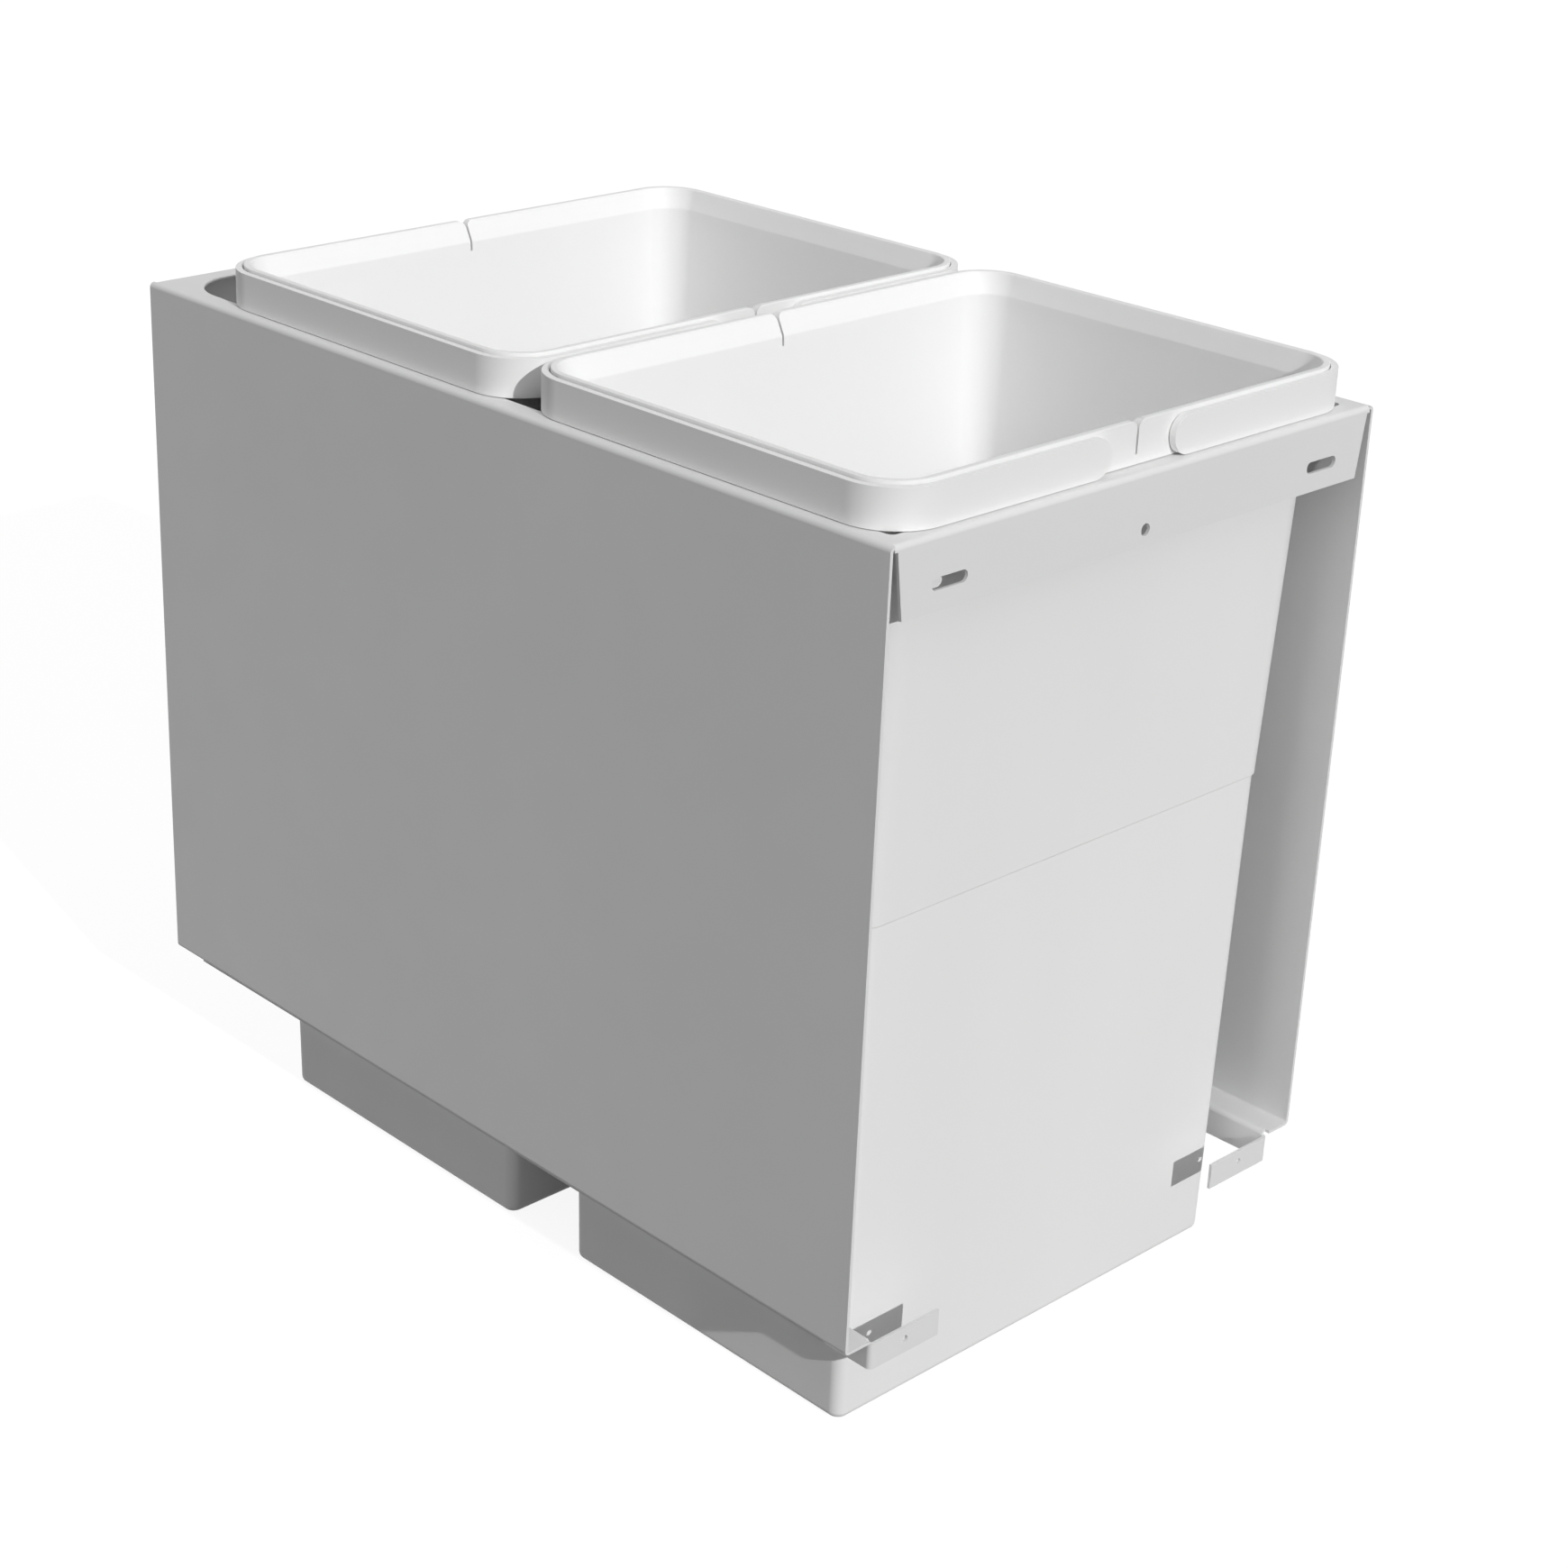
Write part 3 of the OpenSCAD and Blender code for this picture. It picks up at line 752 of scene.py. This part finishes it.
@dataclass
class WasteBin:
    """A moulded bin: stepped and leaning wall, flared collar, rim with a turned-down skirt."""

    name: str
    middle_y: float
    # Outlines of the skirt, and of the wall at the collar's foot, the step line and the foot
    skirt: Outline = Outline(143.9 * MM, 107.4 * MM, 22 * MM)
    mouth: Outline = Outline(139.1 * MM, 101.3 * MM, 18 * MM)
    step: Outline = Outline(130.4 * MM, 92.6 * MM, 8 * MM)
    foot: Outline = Outline(127 * MM, 89.2 * MM, 6 * MM)
    # Heights of the rim, the skirt's hem, the collar's foot, the web under the rim and the step
    rim_z: float = 441.5 * MM
    skirt_z: float = 422.4 * MM
    collar_z: float = 431.5 * MM
    web_z: float = 438.3 * MM
    step_z: float = 244.5 * MM
    # The step line's depth, its rounds and the share of the depth that each round takes
    step_in: float = 1 * MM
    step_toe: float = 0.2 * MM
    step_top: float = 0.05 * MM
    step_share: float = 0.3
    # The skin, and the eased corner where the wall meets the web
    wall: float = 2 * MM
    web: float = 3 * MM
    web_ease: float = 1 * MM
    web_ease_in: float = 0.26 * MM
    # The skirt's hem, the rim's width and its outer and inner edge, and the collar's crease
    hem_inner: float = 0.2 * MM
    hem_outer: float = 0.3 * MM
    rim: float = 3.5 * MM
    rim_edge: float = 0.4 * MM
    lip_edge: float = 1 * MM
    crease: float = 0.5 * MM
    # The foot: its edge, the ring that the bin stands on, the recess in the ring and the base
    foot_edge: float = 3.5 * MM
    foot_ring: float = 12 * MM
    recess: float = 1.5 * MM
    base: float = 2.5 * MM
    # The bag slits: width, height, how far in they reach, and the round of their mouth
    slit_width: float = 1.2 * MM
    slit_height: float = 14.6 * MM
    slit_reach: float = 8.75 * MM
    slit_mouth: float = 3.4 * MM
    slit_drop: float = 0.12 * MM
    slit_steps: int = 8
    # The holes for the bails' pins
    pin_x: float = 29 * MM
    pin_z: float = 431.2 * MM
    pin_hole: float = 2.58 * MM
    # Faces nearer than this to the skirt's outside aren't inside the bin and don't get the painted
    # light
    inside_margin: float = 2.5 * MM
    corner_steps: int = 12

    def outside(self) -> list[Outline]:
        """Draws the wall's outside, from the recess under the base up to the rim's web.

        Returns:
            The outlines in order.
        """
        ring_in = -self.foot_edge - self.foot_ring
        step_round = self.step_share * self.step_in
        return [
            self.foot.grown(ring_in, self.recess),
            self.foot.grown(ring_in + self.recess, 0),
            *round_over(self.foot, (-self.foot_edge, 0), (0, self.foot_edge), rising=False),
            *round_over(
                self.step, (0, step_round), (self.step_z - self.step_toe, self.step_z),
                rising=True, steps=2,
            ),
            self.step.grown(self.step_in, self.step_z + self.step_in - step_round),
            self.step.grown(self.step_in + self.step_top, self.step_z + self.step_in + step_round),
            self.mouth.grown(0, self.collar_z),
            *round_over(
                self.skirt, (-self.web - self.web_ease_in, -self.web),
                (self.web_z - self.web_ease, self.web_z), rising=True, steps=2,
            ),
        ]

    def over_rim(self) -> list[Outline]:
        """Draws the skirt and the rim, from the web down, round the hem and over the top.

        Returns:
            The outlines in order.
        """
        return [
            self.skirt.grown(-self.wall, self.web_z),
            self.skirt.grown(-self.wall, self.skirt_z + self.hem_inner),
            self.skirt.grown(self.hem_inner - self.wall, self.skirt_z),
            self.skirt.grown(-self.hem_outer, self.skirt_z),
            self.skirt.grown(0, self.skirt_z + self.hem_outer),
            *round_over(
                self.skirt, (0, -self.rim_edge), (self.rim_z - self.rim_edge, self.rim_z),
                rising=True,
            ),
            *round_over(
                self.skirt, (self.lip_edge - self.rim, -self.rim),
                (self.rim_z, self.rim_z - self.lip_edge), rising=False,
            ),
        ]

    def inside(self) -> list[Outline]:
        """Draws the wall's inside, from under the rim down the collar to the floor.

        Returns:
            The outlines in order.
        """
        collar_out = (self.skirt.half_width - self.rim) - (self.mouth.half_width - self.wall)
        flare = collar_out / (self.rim_z - self.collar_z)
        floor_z = self.recess + self.base
        return [
            self.mouth.grown(self.crease * flare - self.wall, self.collar_z + self.crease),
            self.mouth.grown(-self.wall, self.collar_z - self.crease),
            self.step.grown(self.step_in - self.wall, self.step_z + self.step_in),
            self.step.grown(-self.wall, self.step_z),
            *round_over(
                self.foot, (-self.wall, -self.wall - self.foot_edge),
                (floor_z + self.foot_edge, floor_z), rising=True,
            ),
        ]

    def start_ring(self, first: Outline) -> bpy.types.Object:
        """Adds a plane at the first outline's size and rounds its corners.

        Args:
            first: The first outline.

        Returns:
            The object, with its mesh open and its face selected.
        """
        deselect()
        bpy.ops.mesh.primitive_plane_add(size=2, location=(0, 0, first.height))
        body = bpy.context.object
        body.name = self.name
        body.scale = (first.half_width, first.half_length, 1)
        settle(body)
        open_mesh(body)
        bpy.ops.mesh.select_all(action="SELECT")
        bpy.ops.mesh.bevel(
            offset=first.radius, segments=self.corner_steps, affect="VERTICES", profile=0.5,
        )
        bpy.ops.mesh.select_all(action="SELECT")
        return body

    def next_ring(self, body: bpy.types.Object, last: Outline, new: Outline) -> None:
        """Extrudes the open end to the next outline, corner by corner.

        Args:
            body: The bin, open in edit mode with its open end selected.
            last: The outline that the end has now.
            new: The outline that it gets.
        """
        extrude((0, 0, new.height - last.height))
        mesh = bmesh.from_edit_mesh(body.data)
        ring = [vert.index for vert in mesh.verts if vert.select]
        swell = new.radius / last.radius
        for sx, sy in CORNERS:
            mesh = bmesh.from_edit_mesh(body.data)
            mesh.verts.ensure_lookup_table()
            bpy.ops.mesh.select_mode(type="VERT")
            bpy.ops.mesh.select_all(action="DESELECT")
            for index in ring:
                vert = mesh.verts[index]
                vert.select = vert.co.x * sx > 0 and vert.co.y * sy > 0
            mesh.select_flush_mode()
            centre = last.corner(sx, sy)
            centre.z = new.height
            bpy.ops.transform.resize(value=(swell, swell, 1), center_override=centre)
            bpy.ops.transform.translate(value=new.corner(sx, sy) - centre)
        mesh = bmesh.from_edit_mesh(body.data)
        mesh.verts.ensure_lookup_table()
        for index in ring:
            mesh.verts[index].select = True
        mesh.select_flush_mode()
        bpy.ops.mesh.select_mode(type="FACE")

    def slit_cutter(self, sy: int) -> bpy.types.Object:
        """Makes the cutter of one bag slit, with its mouth rounded into the rim's top.

        Args:
            sy: The sign of Y at the rim that it cuts.

        Returns:
            A closed shape that runs through that rim.
        """
        half, top = self.slit_width / 2, self.rim_z + self.wall
        foot_z = self.rim_z - self.slit_height
        mouth_z = self.rim_z - self.slit_drop - self.slit_mouth
        near, far = self.skirt.half_length - self.slit_reach, self.skirt.half_length + self.rim
        low_y, high_y = sorted((sy * near, sy * far))
        cutter = add_block("slit", Vector((-half, low_y, foot_z)), Vector((half, high_y, mouth_z)))
        open_mesh(cutter)
        pick(cutter, Pick.FACES, lambda at: abs(at.z - mouth_z) < NEAR)
        x, z = half, mouth_z
        for i in range(1, self.slit_steps + 1):
            turn = math.pi / 2 * i / self.slit_steps
            new_x = half + self.slit_mouth * (1 - math.cos(turn))
            new_z = mouth_z + self.slit_mouth * math.sin(turn)
            extrude((0, 0, new_z - z))
            bpy.ops.transform.resize(value=(new_x / x, 1, 1), center_override=(0, 0, new_z))
            x, z = new_x, new_z
        extrude((0, 0, top - z))
        close_mesh()
        return cutter

    def paint_inside_lighter(self, body: bpy.types.Object) -> int:
        """Gives the faces that hold the waste the second finish, the paler one: painted light
        standing in for the light that fills the bin.

        Args:
            body: The finished bin, before it is moved to its place.

        Returns:
            How many faces have it.
        """
        half_x = self.skirt.half_width - self.inside_margin
        half_y = self.skirt.half_length - self.inside_margin
        count = 0
        for face in body.data.polygons:
            at, normal = face.center, face.normal
            within = abs(at.x) < half_x and abs(at.y) < half_y
            inward = normal.x * at.x + normal.y * at.y < -LEAST_SLOPE
            # Inward and upward faces inside the bin get the paler copy: painted light, not a
            # different plastic
            if within and (inward or normal.z > LOOKS_UP) and at.z > self.recess:
                face.material_index = 1
                count += 1
        return count

    def build(self) -> bpy.types.Object:
        """Models the bin at its place in the unit.

        Returns:
            The finished bin.
        """
        path = [*self.outside(), *self.over_rim(), *self.inside()]
        body = self.start_ring(path[0])
        for last, new in zip(path, path[1:]):
            self.next_ring(body, last, new)
        close_mesh()
        face_outwards(body)
        for sy in SIGNS:
            cut_with(body, self.slit_cutter(sy))
            y = sy * (self.skirt.half_length - self.wall / 2)
            for sx in SIGNS:
                near = Vector((sx * self.pin_x, y - self.wall, self.pin_z))
                far = Vector((sx * self.pin_x, y + self.wall, self.pin_z))
                cut_with(body, add_bar("pin_hole", near, far, self.pin_hole))
        LOG.info("%s: %d faces inside", self.name, self.paint_inside_lighter(body))
        body.location.y = self.middle_y
        settle(body)
        shade(body)
        return body


# Bails


@dataclass
class Bail:
    """Half of a band that lies round a bin's skirt, with round ends and two inward pins."""

    # The band's inner face, which clears the skirt, and its section
    inner: Outline = Outline(144.4 * MM, 107.9 * MM, 22.5 * MM)
    thickness: float = 3.3 * MM
    low_z: float = 422.4 * MM
    high_z: float = 440 * MM
    # The pins, which reach in through the skirt
    pivot_x: float = 29 * MM
    pin_radius: float = 2.5 * MM
    pin_reach: float = 4.6 * MM
    # The eased edges, and how fine the rounds are
    edge: float = 0.3 * MM
    edge_steps: int = 3
    edge_angle: float = 50
    end_steps: int = 10
    end_tip_share: float = 0.02
    turn_steps: int = 12

    @property
    def middle_z(self) -> float:
        """The height of the band's middle and of its pins."""
        return (self.low_z + self.high_z) / 2

    def start_band(self) -> bpy.types.Object:
        """Adds the band's section at its front pivot and draws it round to the rear pivot.

        Returns:
            The band, without its round ends.
        """
        deselect()
        front_y = -self.inner.half_length - self.thickness / 2
        bpy.ops.mesh.primitive_plane_add(
            size=1, location=(self.pivot_x, front_y, self.middle_z), rotation=(0, math.pi / 2, 0),
        )
        band = bpy.context.object
        band.name = "bail"
        band.scale = (self.high_z - self.low_z, self.thickness, 1)
        settle(band)
        open_mesh(band)
        bpy.ops.mesh.select_mode(type="FACE")
        bpy.ops.mesh.select_all(action="SELECT")
        front, rear = self.inner.corner(1, -1), self.inner.corner(1, 1)
        extrude((front.x - self.pivot_x, 0, 0))
        self.turn(front)
        extrude((0, rear.y - front.y, 0))
        self.turn(rear)
        extrude((self.pivot_x - rear.x, 0, 0))
        close_mesh()
        face_outwards(band)
        return band

    def turn(self, centre: Vector) -> None:
        """Draws the selected end a quarter turn round a corner.

        Args:
            centre: The middle of the corner's round.
        """
        bpy.ops.mesh.spin(
            steps=self.turn_steps, angle=-math.pi / 2, center=centre, axis=(0, 0, 1),
            use_normal_flip=False, dupli=False,
        )

    def round_end(self, band: bpy.types.Object, y: float) -> None:
        """Draws one end of the band out into a half round about its pivot.

        Args:
            band: The band.
            y: The middle of that end, along Y.
        """
        radius = (self.high_z - self.low_z) / 2
        pivot = (self.pivot_x, y, self.middle_z)
        open_mesh(band)
        pick(band, Pick.FACES, lambda at: (at - Vector(pivot)).length < self.thickness / 2)
        x, height = 0.0, 1.0
        for i in range(1, self.end_steps + 1):
            turn = math.pi / 2 * i / self.end_steps
            new_x = radius * math.sin(turn)
            new_height = max(math.cos(turn), self.end_tip_share)
            extrude((x - new_x, 0, 0))
            bpy.ops.transform.resize(value=(1, 1, new_height / height), center_override=pivot)
            x, height = new_x, new_height
        close_mesh()

    def build(self) -> bpy.types.Object:
        """Models the right bail round a bin at the origin.

        Returns:
            The finished bail.
        """
        band = self.start_band()
        end_y = self.inner.half_length + self.thickness / 2
        for y in (-end_y, end_y):
            self.round_end(band, y)
        face_outwards(band)
        ease_edges(band, self.edge, self.edge_steps, self.edge_angle)
        tip_y = self.inner.half_length - self.pin_reach
        for sy in SIGNS:
            tip = Vector((self.pivot_x, sy * tip_y, self.middle_z))
            root = Vector((self.pivot_x, sy * end_y, self.middle_z))
            fuse(band, add_bar("pin", tip, root, self.pin_radius))
        return band


# The unit


@dataclass
class BinSet:
    """The two bins and the bails on each."""

    front_y: float = -134.3 * MM
    pitch: float = 225 * MM
    bin_plastic: MouldedPlastic = MouldedPlastic(
        "bin_polypropylene", dark=(0.92, 0.92, 0.918), light=(0.94, 0.94, 0.938),
    )
    # A paler copy of the bin plastic for the inside faces: painted light that brightens the bin's
    # inside
    painted_light_inside: MouldedPlastic = MouldedPlastic(
        "bin_polypropylene_inside", dark=(0.965, 0.965, 0.965), light=(0.98, 0.98, 0.98),
    )
    bail_plastic: MouldedPlastic = MouldedPlastic(
        "bail_polypropylene", dark=(0.945, 0.945, 0.943), light=(0.96, 0.96, 0.958),
        rough=(0.5, 0.58),
    )
    pieces: list[bpy.types.Object] = field(default_factory=list)

    def build_bins(self) -> None:
        """Models the front bin and copies it to the rear place."""
        front = WasteBin("front_bin_moulding", self.front_y).build()
        dress(front, "bin_plastic", self.bin_plastic.material(), self.painted_light_inside.material())
        rear = copy_of(front, "rear_bin_moulding")
        rear.location.y = self.pitch
        settle(rear)
        for piece, node in ((front, "front_bin"), (rear, "rear_bin")):
            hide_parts(node)
            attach(piece, f"{node}_body")
            self.pieces.append(piece)

    def build_bails(self) -> None:
        """Models one bail and copies it to the four places."""
        finish = self.bail_plastic.material()
        pattern = Bail().build()
        for place, middle_y in (("front", self.front_y), ("rear", self.front_y + self.pitch)):
            for side in Side:
                word = side.name.lower()
                piece = copy_of(pattern, f"{place}_bin_{word}_bail_band")
                piece.scale.x = side.value
                piece.location.y = middle_y
                settle(piece)
                face_outwards(piece)
                shade(piece)
                dress(piece, "bail_plastic", finish)
                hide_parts(f"{place}_bin_{word}_bail")
                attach(piece, f"{place}_{word}_bail")
                self.pieces.append(piece)
        bpy.data.objects.remove(pattern, do_unlink=True)

    def build(self) -> list[bpy.types.Object]:
        """Builds all bins and bails.

        Returns:
            The new pieces.
        """
        self.build_bins()
        self.build_bails()
        return self.pieces


@dataclass
class Carrier:
    """The folded sheet carrier, with its cut edges eased as a tumbled blank's are."""

    coat: PowderCoat = PowderCoat()
    # The eased edges; faces that turn less than flat_angle become one first
    ease: float = 0.22 * MM
    ease_steps: int = 2
    ease_angle: float = 60
    flat_angle: float = 0.5
    # The sheet, and the flanges that turn down from the deck at the front and rear
    half_length: float = 250 * MM
    thickness: float = 1.5 * MM
    deck_z: float = 422 * MM
    flange_low_z: float = 390 * MM
    # The gap at each flange's end, from the panel to the end at its top and at its foot
    gap_out: float = 150.5 * MM
    gap_top: float = 148.8 * MM
    gap_low: float = 144.5 * MM

    def open_flange_ends(self, sheet: bpy.types.Object) -> None:
        """Widens the gap between each flange's end and the side panel.

        Args:
            sheet: The carrier, merged and not yet eased.
        """
        near_y, far_y = self.half_length - 2 * self.thickness, self.half_length + self.thickness
        low_z, top_z = self.flange_low_z - self.thickness, self.deck_z - 2 * self.thickness
        wedge = add_block(
            "flange_gap", Vector((self.gap_low, near_y, low_z)), Vector((self.gap_out, far_y, top_z)),
        )
        open_mesh(wedge)
        pick(wedge, Pick.VERTS, lambda at: at.z > self.flange_low_z and at.x < self.gap_low + NEAR)
        bpy.ops.transform.translate(value=(self.gap_top - self.gap_low, 0, 0))
        close_mesh()
        for sx, sy in CORNERS:
            cutter = copy_of(wedge, "flange_gap_cutter")
            cutter.scale = (sx, sy, 1)
            settle(cutter)
            face_outwards(cutter)
            cut_with(sheet, cutter)
        bpy.data.objects.remove(wedge, do_unlink=True)

    def build(self, frame: dict) -> list[bpy.types.Object]:
        """Makes the carrier from its solid, with wider flange gaps and eased edges.

        Args:
            frame: The loaded frame.

        Returns:
            The new piece, alone in a list.
        """
        sheet = copy_of(frame["nodes"]["carrier_frame"], "carrier_sheet")
        # What the frame noted on the solid doesn't hold for this new piece.
        for key in list(sheet.keys()):
            del sheet[key]
        open_mesh(sheet)
        bpy.ops.mesh.select_all(action="SELECT")
        bpy.ops.mesh.remove_doubles(threshold=MERGE)
        bpy.ops.mesh.dissolve_limited(angle_limit=math.radians(self.flat_angle))
        close_mesh()
        self.open_flange_ends(sheet)
        ease_edges(sheet, self.ease, self.ease_steps, self.ease_angle)
        shade(sheet)
        dress(sheet, "powder_coat", self.coat.material())
        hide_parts("carrier_frame")
        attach(sheet, "carrier")
        return [sheet]


@dataclass
class Hardware:
    """The runners, rails, stops and fasteners, which keep their solids' shapes."""

    finishes: dict[str, Finish] = field(default_factory=lambda: {
        "rail_aluminium": MillAluminium(),
        "zinc_steel": ZincPlate(),
        "ball_steel": PolishedSteel(),
        "stop_rubber": StopRubber(),
    })

    def dress_all(self, frame: dict) -> int:
        """Gives each carried-over solid the finish of its slot.

        Args:
            frame: The loaded frame.

        Returns:
            How many solids were dressed.
        """
        made = {slot: finish.material() for slot, finish in self.finishes.items()}
        count = 0
        for part in frame["record"]["subparts"]:
            material = made.get(part["material_slot"])
            if material is not None:
                mesh = frame["nodes"][part["node"]].data
                mesh.materials.clear()
                mesh.materials.append(material)
                count += 1
        return count


def dress(piece: bpy.types.Object, slot: str, *finishes: bpy.types.Material) -> None:
    """Gives a new piece its finishes.

    Args:
        piece: The finished shape.
        slot: The record's material slot; not used.
        *finishes: Its materials, in the order of its faces' numbers.
    """
    sides = [face.material_index for face in piece.data.polygons]
    piece.data.materials.clear()
    for finish in finishes:
        piece.data.materials.append(finish)
    for face, side in zip(piece.data.polygons, sides):
        face.material_index = min(side, len(finishes) - 1)


# Studio


@dataclass
class Studio:
    """The camera, the light and the floor."""

    # The camera, at the photograph's viewpoint
    camera_at: Triple = (-0.95272, -0.988714, 0.797273)
    azimuth: float = -42.605
    elevation: float = 23.057
    roll: float = 1.406
    lens: float = 69.838
    sensor: float = 36
    shift: Pair = (0.0851, -0.0195)
    clip: Pair = (0.01, 100)
    # The lamp, and the sky's light at the horizon and overhead
    light_goes: Triple = (0.185, 0.878, -0.437)
    sun_strength: float = 1.9
    sun_spread: float = 1.0
    sky_low: float = 0.14
    sky_high: float = 0.58
    # The floor, a hair under the feet
    floor_reach: float = 12.0
    floor_drop: float = 0.2 * MM

    def add_camera(self) -> None:
        """Places the camera at the photograph's viewpoint."""
        az, el, roll = (math.radians(v) for v in (self.azimuth, self.elevation, self.roll))
        right = Vector((math.cos(az), math.sin(az), 0))
        back = Vector((math.sin(az) * math.cos(el), -math.cos(az) * math.cos(el), math.sin(el)))
        up = back.cross(right)
        turned_right = right * math.cos(roll) + up * math.sin(roll)
        turned_up = up * math.cos(roll) - right * math.sin(roll)
        data = bpy.data.cameras.new("camera")
        data.sensor_width = self.sensor
        data.lens = self.lens
        data.shift_x, data.shift_y = self.shift
        data.clip_start, data.clip_end = self.clip
        camera = bpy.data.objects.new("camera", data)
        basis = Matrix((turned_right, turned_up, back)).transposed().to_4x4()
        camera.matrix_world = Matrix.Translation(self.camera_at) @ basis
        bpy.context.scene.collection.objects.link(camera)
        bpy.context.scene.camera = camera

    def add_sun(self) -> None:
        """Hangs the main lamp, which lights from the front and a little from the left."""
        data = bpy.data.lights.new("main_lamp", "SUN")
        data.energy = self.sun_strength
        data.angle = math.radians(self.sun_spread)
        lamp = bpy.data.objects.new("main_lamp", data)
        lamp.rotation_euler = Vector(self.light_goes).to_track_quat("-Z", "Y").to_euler()
        bpy.context.scene.collection.objects.link(lamp)

    def add_sky(self) -> None:
        """Makes the soft light all round: brighter from above, and white where it is seen."""
        world = bpy.data.worlds.new("studio")
        bpy.context.scene.world = world
        world.use_nodes = True
        tree = world.node_tree
        tree.nodes.clear()
        place = tree.nodes.new("ShaderNodeTexCoord")
        split = tree.nodes.new("ShaderNodeSeparateXYZ")
        tree.links.new(place.outputs["Generated"], split.inputs["Vector"])
        rise = tree.nodes.new("ShaderNodeMapRange")
        rise.inputs["To Min"].default_value = self.sky_low
        rise.inputs["To Max"].default_value = self.sky_high
        tree.links.new(split.outputs["Z"], rise.inputs["Value"])
        light, white = (tree.nodes.new("ShaderNodeBackground") for _ in range(2))
        for background in (light, white):
            background.inputs["Color"].default_value = (1, 1, 1, 1)
        tree.links.new(rise.outputs["Result"], light.inputs["Strength"])
        white.inputs["Strength"].default_value = 1
        chooser = tree.nodes.new("ShaderNodeMixShader")
        tree.links.new(looked_at(tree), chooser.inputs["Fac"])
        tree.links.new(light.outputs["Background"], chooser.inputs[1])
        tree.links.new(white.outputs["Background"], chooser.inputs[2])
        output = tree.nodes.new("ShaderNodeOutputWorld")
        tree.links.new(chooser.outputs["Shader"], output.inputs["Surface"])

    def add_floor(self) -> None:
        """Lays the pale floor that the bins' feet stand on."""
        deselect()
        bpy.ops.mesh.primitive_plane_add(
            size=2 * self.floor_reach, location=(0, 0, -self.floor_drop),
        )
        floor = bpy.context.object
        floor.name = "floor"
        settle(floor)
        floor.data.materials.append(StudioFloor().material())

    def build(self) -> None:
        """Sets up the studio."""
        self.add_camera()
        self.add_sun()
        self.add_sky()
        self.add_floor()
        bpy.context.scene.view_settings.view_transform = "Standard"


def report(pieces: Iterable[bpy.types.Object]) -> None:
    """Writes one log line for each new piece.

    Args:
        pieces: The new pieces.
    """
    for piece in pieces:
        piece.data.calc_loop_triangles()
        LOG.info("%s: %d triangles", piece.name, len(piece.data.loop_triangles))


def main() -> None:
    """Builds the whole unit and its studio."""
    logging.basicConfig(level=logging.INFO, format="%(name)s: %(message)s")
    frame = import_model()
    Studio().build()
    report(Carrier().build(frame))
    report(BinSet().build())
    LOG.info("hardware: %d solids dressed", Hardware().dress_all(frame))


if __name__ == "__main__":
    main()
